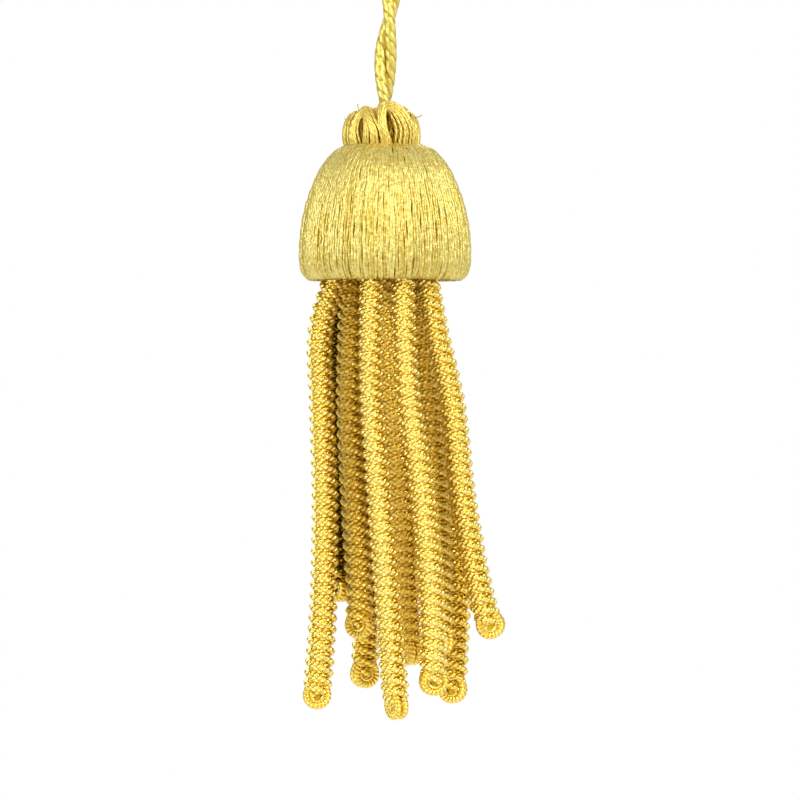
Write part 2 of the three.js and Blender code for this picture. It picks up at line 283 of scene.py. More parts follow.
def even_points(line, spacing):
    """The same line with its points at an even spacing."""
    reach = np.concatenate(([0.0], np.cumsum(np.linalg.norm(np.diff(line, axis=0), axis=1))))
    at = np.linspace(0.0, reach[-1], max(2, int(round(reach[-1] / spacing)) + 1))
    return np.stack([np.interp(at, reach, line[:, k]) for k in range(line.shape[1])], axis=1)


def line_step(line, steps):
    """The spacing that gives a line that many steps."""
    return float(np.sum(np.linalg.norm(np.diff(line, axis=0), axis=1))) / steps


def smooth_route(points, spacing):
    """Evenly spaced points on the smooth curve that runs through the given points."""
    points = np.asarray(points, dtype=float)
    before = 2 * points[:1] - points[1:2]
    after = 2 * points[-1:] - points[-2:-1]
    run = np.vstack((before, points, after))
    a, b, c, d = run[:-3], run[1:-2], run[2:-1], run[3:]
    gap = np.sqrt(np.linalg.norm(np.diff(run, axis=0), axis=1))[:, None]
    ab, bc, cd = gap[:-2], gap[1:-1], gap[2:]
    leave = ((b - a) / ab - (c - a) / (ab + bc) + (c - b) / bc) * bc
    arrive = ((c - b) / bc - (d - b) / (bc + cd) + (d - c) / cd) * bc
    t = np.linspace(0.0, 1.0, ROUTE_POINTS, endpoint=False)[:, None, None]
    bend = 3 * (c - b) - 2 * leave - arrive
    swing = 2 * (b - c) + leave + arrive
    fine = b + leave * t + bend * t**2 + swing * t**3
    fine = np.vstack((fine.transpose(1, 0, 2).reshape(-1, points.shape[1]), points[-1:]))
    return even_points(fine, spacing)


def unit(vectors):
    """The same directions, one long."""
    return vectors / np.linalg.norm(vectors, axis=-1, keepdims=True)


def ease(share):
    """A share from 0 to 1 that starts and stops gently."""
    share = np.clip(share, 0.0, 1.0)
    return share * share * (3 - 2 * share)


# How far along a yarn its map may start, in millimetres
MAP_START = 10.0


class YarnMesh:
    """Gathers yarns swept along lines into one mesh with a yarn map and a painted light and shade tone."""

    def __init__(self):
        self.points, self.corners, self.sizes, self.map, self.crest, self.finish = [], [], [], [], [], []
        self.count = 0
        self.chance = np.random.default_rng(SEEDS["yarn_map"])

    def sweep(self, lines, outward, radius, sides, crest, finish=0):
        """Adds one closed tube along each line. Radius and painted tone may change along and round it."""
        yarns, steps = lines.shape[:2]
        along = unit(np.gradient(lines, axis=1))
        front = unit(outward - along * np.sum(outward * along, axis=2, keepdims=True))
        side = np.cross(along, front)
        turn = (TURN * np.arange(sides) / sides)[:, None]
        ring = front[:, :, None] * np.cos(turn) + side[:, :, None] * np.sin(turn)
        shape = (yarns, steps, sides)
        reach = ring * np.broadcast_to(radius, shape)[..., None]
        self.points.append((lines[:, :, None] + reach).reshape(-1, 3))
        self.crest.append(np.broadcast_to(crest, shape).ravel())
        here = self.count + np.arange(yarns * steps * sides).reshape(shape)
        self.count += here.size
        onward = np.roll(here, -1, axis=2)
        quads = np.stack((here[:, :-1], onward[:, :-1], onward[:, 1:], here[:, 1:]), axis=-1)
        caps = np.concatenate((here[:, 0, ::-1], here[:, -1]))
        self.corners += [quads.ravel(), caps.ravel()]
        self.sizes += [np.full(quads.size // 4, 4), np.full(len(caps), sides)]
        self.finish.append(np.full(quads.size // 4 + len(caps), finish))
        stride = np.linalg.norm(np.diff(lines, axis=1), axis=2) / MM
        far = np.concatenate((np.zeros((yarns, 1)), np.cumsum(stride, axis=1)), axis=1)
        far = far + MAP_START * self.chance.random((yarns, 1))
        u = np.broadcast_to(np.arange(sides + 1) / sides, (yarns, steps, sides + 1))
        v = np.broadcast_to(far[:, :, None], u.shape)
        uv = np.stack((u, v), axis=-1)
        patches = (uv[:, :-1, :-1], uv[:, :-1, 1:], uv[:, 1:, 1:], uv[:, 1:, :-1])
        self.map += [np.stack(patches, axis=3).reshape(-1, 2), np.zeros((caps.size, 2))]

    def build(self, name, *materials):
        """Makes the mesh and its object, at the origin."""
        points = np.concatenate(self.points).astype(np.float32)
        corners = np.concatenate(self.corners).astype(np.int32)
        sizes = np.concatenate(self.sizes)
        mesh = bpy.data.meshes.new(name)
        mesh.vertices.add(len(points))
        mesh.vertices.foreach_set("co", points.ravel())
        mesh.loops.add(len(corners))
        mesh.loops.foreach_set("vertex_index", corners)
        mesh.polygons.add(len(sizes))
        mesh.polygons.foreach_set("loop_start", (np.cumsum(sizes) - sizes).astype(np.int32))
        mesh.update(calc_edges=True)
        yarn_map = mesh.uv_layers.new(name="yarn")
        yarn_map.data.foreach_set("uv", np.concatenate(self.map).astype(np.float32).ravel())
        # Each point's own tone together with its painted light and shade, read by the finishes
        crest = mesh.attributes.new("crest", "FLOAT", "POINT")
        crest.data.foreach_set("value", np.concatenate(self.crest).astype(np.float32))
        mesh.shade_smooth()
        if mesh.validate():
            raise RuntimeError(name + ": the swept yarns aren't a sound mesh")
        for material in materials:
            mesh.materials.append(material)
        mesh.polygons.foreach_set("material_index", np.concatenate(self.finish).astype(np.int32))
        piece = bpy.data.objects.new(name, mesh)
        bpy.context.scene.collection.objects.link(piece)
        return piece


def place_piece(piece, node):
    """Puts a finished piece on the part's body, in place of its solid."""
    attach(piece, BODY)
    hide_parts(node)


# Edges of a turned form that are sharper than this stay sharp, in degrees
SHARP_EDGE = 50.0


def turned_form(name, profile, sides, material):
    """A round form raised ring by ring from a disc, radius and height in millimetres."""
    bpy.ops.object.select_all(action="DESELECT")
    radius, z = profile[0]
    bpy.ops.mesh.primitive_circle_add(
        vertices=sides, radius=radius * MM, fill_type="NGON", location=(0.0, 0.0, z * MM)
    )
    form = bpy.context.object
    form.name = name
    form.data.name = name
    bpy.ops.object.transform_apply(location=True, rotation=True, scale=True)
    bpy.ops.object.mode_set(mode="EDIT")
    bpy.ops.mesh.select_all(action="SELECT")
    for next_radius, next_z in profile[1:]:
        bpy.ops.mesh.extrude_region_move(
            TRANSFORM_OT_translate={"value": (0.0, 0.0, (next_z - z) * MM)}
        )
        share = next_radius / radius
        bpy.ops.transform.resize(value=(share, share, 1.0), center_override=(0.0, 0.0, next_z * MM))
        radius, z = next_radius, next_z
    bpy.ops.mesh.select_all(action="SELECT")
    bpy.ops.mesh.normals_make_consistent(inside=False)
    bpy.ops.object.mode_set(mode="OBJECT")
    bpy.ops.object.shade_smooth_by_angle(angle=math.radians(SHARP_EDGE))
    form.data.materials.append(material)
    return form


# Finishes


def add_node(tree, kind, place, **values):
    """Adds a node to a tree and sets its own values."""
    node = tree.nodes.new(kind)
    node.location = place
    for name, value in values.items():
        setattr(node, name, value)
    return node


def maths(tree, operation, place, first, second, third=None):
    """One step of arithmetic on sockets or numbers, as the socket that holds its result."""
    node = add_node(tree, "ShaderNodeMath", place, operation=operation)
    for socket, value in zip(node.inputs, (first, second, third)):
        if value is None:
            continue
        if isinstance(value, bpy.types.NodeSocket):
            tree.links.new(value, socket)
        else:
            socket.default_value = value
    return node.outputs[0]


# Detail of a yarn's drift and fibres, how the drift is drawn out along the tassel, and the gap between nodes
DRIFT_DETAIL = 2.0
FIBRE_DETAIL = 3.0
DRIFT_DRAW = (1.0, 1.0, 0.4)
NODE_GAP = 170


def soft_noise(group, vector, size, detail, place):
    """Noise of a size over a vector, as the socket that holds it."""
    noise = add_node(group, "ShaderNodeTexNoise", place, noise_dimensions="3D")
    noise.inputs["Detail"].default_value = detail
    group.links.new(vector, noise.inputs["Vector"])
    scale = maths(group, "DIVIDE", (place[0] - NODE_GAP, place[1]), 1.0, size)
    group.links.new(scale, noise.inputs["Scale"])
    return noise.outputs["Fac"]


def yarn_surface_group():
    """Node group of a yarn's twist, drift and fibres, from its yarn map and its place."""
    name = "yarn_surface"
    if name in bpy.data.node_groups:
        return bpy.data.node_groups[name]
    group = bpy.data.node_groups.new(name, "ShaderNodeTree")
    for socket in ("Plies", "Lead", "Drift Size", "Fibre Size"):
        group.interface.new_socket(name=socket, in_out="INPUT", socket_type="NodeSocketFloat")
    for socket in ("Twist", "Drift", "Fibre"):
        group.interface.new_socket(name=socket, in_out="OUTPUT", socket_type="NodeSocketFloat")
    into = add_node(group, "NodeGroupInput", (-900, 0))
    out = add_node(group, "NodeGroupOutput", (500, 0))
    yarn_map = add_node(group, "ShaderNodeUVMap", (-900, 200), uv_map="yarn")
    split = add_node(group, "ShaderNodeSeparateXYZ", (-720, 200))
    group.links.new(yarn_map.outputs["UV"], split.inputs[0])
    round_yarn = maths(group, "MULTIPLY", (-540, 260), split.outputs[0], into.outputs["Plies"])
    down_yarn = maths(group, "DIVIDE", (-540, 100), split.outputs[1], into.outputs["Lead"])
    both = maths(group, "ADD", (-360, 200), round_yarn, down_yarn)
    wave = maths(group, "COSINE", (-20, 200), maths(group, "MULTIPLY", (-190, 200), both, TURN), 0.0)
    twist = maths(group, "MULTIPLY_ADD", (160, 200), wave, 0.5, 0.5)
    group.links.new(twist, out.inputs["Twist"])
    place = add_node(group, "ShaderNodeTexCoord", (-720, -120)).outputs["Object"]
    drawn = add_node(group, "ShaderNodeVectorMath", (-540, -120), operation="MULTIPLY")
    drawn.inputs[1].default_value = DRIFT_DRAW
    group.links.new(place, drawn.inputs[0])
    drift = soft_noise(group, drawn.outputs[0], into.outputs["Drift Size"], DRIFT_DETAIL, (-190, -80))
    group.links.new(drift, out.inputs["Drift"])
    fibre = soft_noise(group, place, into.outputs["Fibre Size"], FIBRE_DETAIL, (-190, -320))
    group.links.new(fibre, out.inputs["Fibre"])
    return group


# Tones hold painted light and shade together with a yarn's own tone. They run from -1 in painted shade,
# over 0 in a groove darkened as painted shade and DEEP_TONE in a valley, to 1 on a crest lit as painted
# highlight. A colour ramp runs from 0 to 1, with the groove in its middle.
DEEP_TONE = 0.25
RAMP_MIDDLE = 0.5


def ramp_place(tone):
    """The place of a tone on a colour ramp."""
    return RAMP_MIDDLE + RAMP_MIDDLE * tone


def yarn_finish(name, light, deep, look):
    """A lustrous yarn, with painted highlight on its crests and painted shade in its valleys and grooves."""
    material = bpy.data.materials.new(name)
    material.use_nodes = True
    tree = material.node_tree
    shader = tree.nodes["Principled BSDF"]
    surface = add_node(tree, "ShaderNodeGroup", (-900, 0), node_tree=yarn_surface_group())
    surface.inputs["Plies"].default_value = look["plies"]
    surface.inputs["Lead"].default_value = look["lead"]
    surface.inputs["Drift Size"].default_value = look["drift_size"] * MM
    surface.inputs["Fibre Size"].default_value = look["fibre_size"] * MM
    crest = add_node(tree, "ShaderNodeAttribute", (-900, 260), attribute_name="crest")
    tone = maths(tree, "MULTIPLY_ADD", (-640, 260), crest.outputs["Fac"], look["crest"], look["tone"])
    tone = maths(tree, "MULTIPLY_ADD", (-460, 260), surface.outputs["Twist"], look["twist"], tone)
    tone = maths(tree, "MULTIPLY_ADD", (-280, 260), surface.outputs["Drift"], look["drift"], tone)
    tone = maths(tree, "MULTIPLY_ADD", (-190, 420), surface.outputs["Fibre"], look["fleck"], tone)
    tone = maths(tree, "MULTIPLY_ADD", (-190, 560), tone, RAMP_MIDDLE, RAMP_MIDDLE)
    ramp = add_node(tree, "ShaderNodeValToRGB", (-100, 260))
    tree.links.new(tone, ramp.inputs["Fac"])
    # Painted shade: a groove takes the deep colour darkened, the shade stop darker still, and crests the
    # light colour as painted highlight
    groove = [channel * look["groove"] for channel in deep]
    stops = ramp.color_ramp.elements
    stops[0].color = (*(channel * look["shade"] for channel in groove), 1.0)
    stops[1].color = (*light, 1.0)
    stops.new(ramp_place(0.0)).color = (*groove, 1.0)
    stops.new(ramp_place(DEEP_TONE)).color = (*deep, 1.0)
    tree.links.new(ramp.outputs["Color"], shader.inputs["Base Color"])
    height = maths(tree, "MULTIPLY", (-640, -160), surface.outputs["Twist"], look["twist_height"])
    fibre = surface.outputs["Fibre"]
    height = maths(tree, "MULTIPLY_ADD", (-460, -160), fibre, look["fibre_height"], height)
    bump = add_node(tree, "ShaderNodeBump", (-240, -160))
    bump.inputs["Strength"].default_value = 1.0
    bump.inputs["Distance"].default_value = MM
    tree.links.new(height, bump.inputs["Height"])
    tree.links.new(bump.outputs["Normal"], shader.inputs["Normal"])
    shader.inputs["Metallic"].default_value = look["metallic"]
    shader.inputs["Roughness"].default_value = look["roughness"]
    return material


# Looks: plies and lead of a yarn's own twist, sizes of its drift and fibres in millimetres, its tone
# and what painted light and shade, twist, drift and flecks add to it, how dark its grooves and its
# shade are as painted shade, how high its twist and fibres stand, and its shine
CORD_LOOK = {
    "plies": 4.0, "lead": 1.5, "drift_size": 6.0, "fibre_size": 0.35,
    "tone": 0.0, "crest": 0.82, "twist": 0.19, "drift": 0.26, "fleck": 0.0, "groove": 0.8, "shade": 1.0,
    "twist_height": 0.06, "fibre_height": 0.05, "metallic": 0.75, "roughness": 0.42,
}
CROWN_LOOK = {
    "plies": 2.0, "lead": 1.4, "drift_size": 5.0, "fibre_size": 0.3,
    "tone": 0.36, "crest": 0.3, "twist": 0.19, "drift": 0.26, "fleck": 0.0, "groove": 1.0, "shade": 1.0,
    "twist_height": 0.05, "fibre_height": 0.04, "metallic": 0.75, "roughness": 0.42,
}
HEAD_LOOK = {
    "plies": 2.0, "lead": 1.9, "drift_size": 4.0, "fibre_size": 0.62,
    "tone": -1.0, "crest": 0.22, "twist": 0.0, "drift": 0.75, "fleck": 2.4, "groove": 0.9, "shade": 1.0,
    "twist_height": 0.0, "fibre_height": 0.17, "metallic": 0.65, "roughness": 0.4,
}
RIDGED_LOOK = {
    "plies": 1.0, "lead": 0.9, "drift_size": 5.0, "fibre_size": 0.25,
    "tone": -0.08, "crest": 0.36, "twist": 0.8, "drift": 0.22, "fleck": 0.0, "groove": 0.45, "shade": 0.2,
    "twist_height": 0.26, "fibre_height": 0.02, "metallic": 0.97, "roughness": 0.3,
}
SMOOTH_LOOK = {
    "plies": 3.0, "lead": 2.6, "drift_size": 5.0, "fibre_size": 0.3,
    "tone": 0.1, "crest": 0.6, "twist": 0.15, "drift": 0.22, "fleck": 0.0, "groove": 0.7, "shade": 0.2,
    "twist_height": 0.03, "fibre_height": 0.02, "metallic": 0.97, "roughness": 0.3,
}
LOOP_LOOK = {**RIDGED_LOOK, "lead": 0.74, "twist_height": 0.2}
HEADING_LOOK = {**HEAD_LOOK, "metallic": 0.0, "roughness": 1.0}


# Pieces


def cord_leg(side):
    """The route of one leg, in millimetres, from its foot in the crown to the top of the loop."""
    rate = -TURN / CORD["leg_turn_lead"]
    start = 0.0 if side > 0 else math.pi
    route = []

    def put(offset, turn, z):
        sway = CORD["sway"] * math.exp(-(((z - CORD["sway_z"]) / CORD["sway_height"]) ** 2))
        route.append((sway + offset * math.cos(turn), offset * math.sin(turn), z))

    foot, part = CORD["foot_z"], CORD["legs_part_z"]
    for k in range(CORD["leg_points"]):
        z = foot + (part - foot) * k / CORD["leg_points"]
        put(CORD["leg_offset"], start + rate * (z - CORD["legs_side_by_side_z"]), z)
    arc_z = CORD["loop_top_z"] - CORD["loop_radius"]
    part_turn = start + rate * (part - CORD["legs_side_by_side_z"])
    part_height = arc_z - part
    last_turn = start + CORD["loop_face_turn"]
    for k in range(CORD["parting_points"]):
        share = k / CORD["parting_points"]
        offset = CORD["leg_offset"] + (CORD["loop_radius"] - CORD["leg_offset"]) * float(ease(share))
        put(offset, part_turn + (last_turn - part_turn) * share * (2 - share), part + share * part_height)
    for k in range(CORD["arc_points"]):
        bend = math.pi / 2 * k / CORD["arc_points"]
        put(CORD["loop_radius"] * math.cos(bend), last_turn, arc_z + CORD["loop_radius"] * math.sin(bend))
    return route


class TASSEL_OT_hanging_cord(bpy.types.Operator):
    """Lays the doubled hanging cord, three plies to each leg"""

    bl_idname = "tassel.hanging_cord"
    bl_label = "Hanging Cord"

    def execute(self, context):
        sizes, colours = context.scene.tassel_sizes, context.scene.tassel_colours
        points = cord_leg(1) + [(0.0, 0.0, CORD["loop_top_z"])] + cord_leg(-1)[::-1]
        route = smooth_route(np.array(points) * MM, CORD_PLIES["step"] * MM)
        far = np.arange(len(route)) * np.linalg.norm(route[1] - route[0])
        sides, plies, valley = CORD_PLIES["sides"], CORD_PLIES["plies"], CORD_PLIES["valley"]
        turn = TURN * np.arange(sides) / sides + TURN * far[:, None] / sizes.cord_lay
        off = np.abs(2 * np.mod(turn * plies / TURN, 1.0) - 1)
        swell = np.sqrt(1 - (CORD_PLIES["roundness"] * off) ** 2)
        radius = sizes.cord_diameter / 2 * CORD_PLIES["fullness"] * (valley + (1 - valley) * swell)
        yarns = YarnMesh()
        outward = np.broadcast_to(BACKWARD, (1, len(route), 3))
        yarns.sweep(route[None], outward, radius[None], sides, CORD_PLIES["crest"] * (1 - off[None] ** 2))
        finish = yarn_finish("cord_yarn", colours.cord_light, colours.cord_deep, CORD_LOOK)
        cord = yarns.build("hanging_cord", finish)
        place_piece(cord, "hanging_loop")
        return {"FINISHED"}


def crown_loop(bunch, number, count, inside, chance):
    """The line of one looped yarn, number 0 being the smallest of its bunch."""
    swing = np.linspace(0.0, math.pi, CROWN_LOOP["points"])
    size = (number + CROWN_CHANCE["size"] * chance.random()) / (count - 1)
    size = size + jitter(chance, CROWN_CHANCE["drift"]) * np.cos(swing)
    size = np.clip(size, 0.0, CROWN_LOOP["largest"])
    up = (bunch["rise"] - CROWN_LOOP["nesting"] * (1 - size)) * np.sin(swing) ** CROWN_LOOP["arch"]
    share = up / bunch["rise"]
    foot = CROWN_LOOP["eye_foot"]
    eye = CROWN_LOOP["eye"] * (foot + (1 - foot) * ease(up / CROWN_LOOP["eye_rise"]))
    legs = np.where(np.cos(swing) < 0, bunch["legs"][0], bunch["legs"][1])
    width = eye + legs * size * (1 - (1 - bunch["top"]) * ease(share))
    aside = width * np.cos(swing) + bunch["lean"] * ease(share)
    layer = CROWN_LOOP["bulge"] * np.sin(math.pi * size) + jitter(chance, CROWN_CHANCE["layer"])
    layer = layer - CROWN_LOOP["layer_gap"] * inside
    swell = CROWN_LOOP["reach_foot"] + CROWN_LOOP["reach_swell"] * share
    swell = swell - CROWN_LOOP["reach_close"] * share**2
    out = bunch["reach"] * swell + layer
    turn = math.radians(bunch["turn"]) + aside / out
    line = around(turn, out, CROWN_FOOT_Z - CROWN_LOOP["foot_sink"] + up) * MM
    return even_points(line, line_step(line, CROWN_LOOP["steps"]))


def stray_end(stray):
    """The line of a stray yarn end, and the way it faces."""
    turn = math.radians(stray["turn"])
    share = np.linspace(0.0, 1.0, STRAY_YARN["points"])
    out = np.linspace(STRAY_YARN["start"], STRAY_YARN["end"] + stray["lean"], STRAY_YARN["points"])
    line = around(turn, out, stray["z"] + stray["rise"] * share**2)[None] * MM
    outward = np.cross(np.gradient(line, axis=1), (-math.sin(turn), math.cos(turn), 0.0))
    return line, outward


def crown_filling(sizes, chance):
    """The lines of the filling yarns inside the crown, the ways they face and their radii."""
    fill = smooth_route(np.array(CROWN_FILL_LINE), CROWN_FILL["step"])
    count = CROWN_FILL["yarns"]
    turn = TURN * (np.arange(count) + CROWN_FILL["spacing_chance"] * chance.random(count)) / count
    slant = jitter(chance, CROWN_FILL["slant_chance"], (count, 1)) * np.linspace(1.0, -1.0, len(fill))
    turn = turn[:, None] + slant
    height = fill[:, 1] + jitter(chance, CROWN_FILL["height_chance"], (count, 1))
    lines = around(turn, fill[:, 0], height) * MM
    outward = around(turn, 1.0, CROWN_FILL["facing_up"])
    full = np.clip(fill[:, 0] / CROWN_FILL["full_radius"], 0.0, 1.0)
    thick = sizes.crown_yarn / 2 * (CROWN_FILL["thin"] + (1 - CROWN_FILL["thin"]) * full)[:, None]
    return lines, outward, thick


class TASSEL_OT_crown(bpy.types.Operator):
    """Loops the crown's bunches of yarn round the foot of the cord"""

    bl_idname = "tassel.crown"
    bl_label = "Crown Loops"

    def execute(self, context):
        sizes, colours = context.scene.tassel_sizes, context.scene.tassel_colours
        chance = np.random.default_rng(SEEDS["crown"])
        count = sizes.crown_loops
        yarns = YarnMesh()
        for bunch in CROWN_BUNCHES:
            for number in range(2 * count):
                inside = number >= count
                line = crown_loop(bunch, number % count, count, inside, chance)[None]
                thick = sizes.crown_yarn / 2 * between(chance, CROWN_CHANCE["thickness"])
                # The inner layer is toned darker as painted shade
                tone = between(chance, CROWN_CHANCE["tone"]) - CROWN_LOOP["inner_shade"] * inside
                yarns.sweep(line, line * LEVEL, thick, CROWN_LOOP["sides"], tone)
        for stray in CROWN_STRAYS:
            line, outward = stray_end(stray)
            thick = STRAY_YARN["thickness"] / 2 * MM
            yarns.sweep(line, outward, thick, STRAY_YARN["sides"], STRAY_YARN["tone"])
        lines, outward, thick = crown_filling(sizes, chance)
        tone = chance.random((len(lines), 1, 1))
        yarns.sweep(lines, outward, thick, CROWN_FILL["sides"], tone, 1)
        finish = yarn_finish("crown_yarn", colours.crown_light, colours.crown_deep, CROWN_LOOK)
        # The filling yarns take the crown's deep and core colours, as painted shade inside the crown
        fill_finish = yarn_finish("crown_fill_yarn", colours.crown_deep, colours.crown_core, CROWN_LOOK)
        crown = yarns.build("crown_loops", finish, fill_finish)
        place_piece(crown, "crown")
        # The core is coloured crown_core throughout, as painted shade inside the crown
        core_finish = yarn_finish("crown_core", colours.crown_core, colours.crown_core, CROWN_LOOK)
        core = turned_form("crown_core", CROWN_CORE, CROWN_CORE_SIDES, core_finish)
        place_piece(core, "crown")
        return {"FINISHED"}


def upright_yarns(sizes, chance):
    """The lines of the head's yarns, the ways they face, their radii and their tones."""
    outline = smooth_route(np.array(HEAD_LINE), HEAD_YARN["step"])
    radius, z = outline[:, 0], outline[:, 1]
    far = np.arange(len(outline)) * HEAD_YARN["step"]
    count = sizes.head_yarns
    each = (count, 1)
    pitch = TURN / count
    turn = pitch * (np.arange(count) + jitter(chance, HEAD_YARN["spacing_chance"], count))
    wander = np.zeros((count, len(outline)))
    for length in HEAD_YARN["wander_lengths"]:
        phase = TURN * chance.random(each)
        wave = length * between(chance, HEAD_YARN["wander_stretch"], each)
        wander += HEAD_YARN["wander"] * pitch * np.sin(TURN * far / wave + phase)
    near_neck = np.exp(-((far / HEAD_YARN["neck_length"]) ** 2))
    turn = turn[:, None] + wander * (1 + HEAD_YARN["neck_wander"] * near_neck)
    taper = HEAD_YARN["axis_share"] + (1 - HEAD_YARN["axis_share"]) * radius / radius.max()
    thick = sizes.head_yarn / 2 * taper * between(chance, HEAD_YARN["thickness"], each)
    phase = TURN * chance.random(each)
    ripple = HEAD_YARN["ripple"] * np.sin(TURN * far / HEAD_YARN["ripple_length"] + phase)
    lift = between(chance, HEAD_YARN["lift"], each) + ripple - thick / MM
    low = ease((far - HEAD_YARN["sunk_from"]) / HEAD_YARN["sunk_over"])
    high = np.exp(-((far / HEAD_YARN["sunk_neck"]) ** 2))
    sunk = (chance.random(each) < HEAD_YARN["sunk_share"]) * (low + high)
    lines = around(turn, radius + lift - HEAD_YARN["sunk_depth"] * sunk, z) * MM
    outward = around(turn, 1.0, 0.0)
    # A sunk yarn is toned darker as painted shade
    tone = between(chance, HEAD_YARN["tone"], (count, 1, 1)) - HEAD_YARN["sunk_shade"] * sunk[..., None]
    return lines, outward, thick[..., None], tone


class TASSEL_OT_head(bpy.types.Operator):
    """Covers the head's mould with upright yarns"""

    bl_idname = "tassel.head"
    bl_label = "Head Yarns"

    def execute(self, context):
        sizes, colours = context.scene.tassel_sizes, context.scene.tassel_colours
        chance = np.random.default_rng(SEEDS["head"])
        lines, outward, thick, tone = upright_yarns(sizes, chance)
        yarns = YarnMesh()
        yarns.sweep(lines, outward, thick, HEAD_YARN["sides"], tone)
        finish = yarn_finish("head_yarn", colours.head_light, colours.head_deep, HEAD_LOOK)
        head = yarns.build("head_yarns", finish)
        place_piece(head, "head")
        # The mould takes the head's deep colours, as painted shade in the gaps between the yarns
        mould_finish = yarn_finish("head_mould", colours.head_deep, colours.bullion_deep, HEAD_LOOK)
        mould = turned_form("head_mould", HEAD_MOULD, HEAD_MOULD_SIDES, mould_finish)
        place_piece(mould, "head")
        return {"FINISHED"}


# Strands: plies in a strand, the turns of a ply's two ridged yarns from its face, and a strand's finishes
PLIES = 4
RIDGED_TURNS = (0.25, -0.25)
RIDGED, SMOOTH, LOOPED = range(3)

# How a strand's yarns lie: how far they are drawn in at its end and over which length, the lean
# of a ply's face in degrees and its swing, the tones of the yarns, the groove yarn's darker tone
# being painted shade, the painted light and shade round each yarn, and the core that backs them,
# toned darker as painted shade
STRAND = {
    "step": 0.34, "sides": 7, "draw_in": 0.36, "draw_in_length": 2.6,
    "lean": -26.0, "lean_chance": 24.0, "lean_swing": 12.0, "swings": 1.4,
    "ridged_thickness": (0.94, 1.06), "ridged_tone": 0.8, "leaf_tone": -0.4, "groove_shade": -0.8,
    "tone_chance": 0.3, "round_shade": 0.8,
    "core_every": 4, "core_thickness": 3.0, "core_sides": 8, "core_shade": -0.4,
}

# Painted shade: how much darker in tone a strand is at each place in depth, strands further back lying in
# more shade
DEPTHS = (-8.0, -3.5, 3.0, 8.0)
DEPTH_SHADES = (0.0, -0.6, -0.9, -1.2)

# Painted shade inside the skirt: how much darker in tone the front of a strand is painted there, how fast
# that falls off to its sides, the height at which it ends, and the height over which it fades
SKIRT_SHADE = {"tone": 4.8, "falloff": 1.5, "end_z": -152.0, "fade": 8.0}

# End loops: each yarn's reach as a share of the loop's, its place aside, its size, tone and finish
END_LOOP_YARNS = [
    {"reach": 1.0, "aside": -0.75, "thick": 1.5, "tone": 0.5, "finish": LOOPED},
    {"reach": 1.0, "aside": 0.75, "thick": 1.5, "tone": 0.5, "finish": LOOPED},
    {"reach": 0.54, "aside": -0.95, "thick": 0.62, "tone": 1.1, "finish": SMOOTH},
    {"reach": 0.54, "aside": 0.95, "thick": 0.62, "tone": 1.1, "finish": SMOOTH},
]
# How far an end loop's yarns rise into the strand and are drawn in there, and the points along them
END_LOOP = {"rise": 3.2, "rise_points": 14, "draw_in": 0.42, "bend_points": 40, "step": 0.25, "sides": 10}
# Short yarn that fills an end loop from above its eye to below it
LOOP_FILL = {"top": -3.0, "foot": 1.2, "points": 8, "thickness": 2.3, "sides": 8, "tone": -0.3}


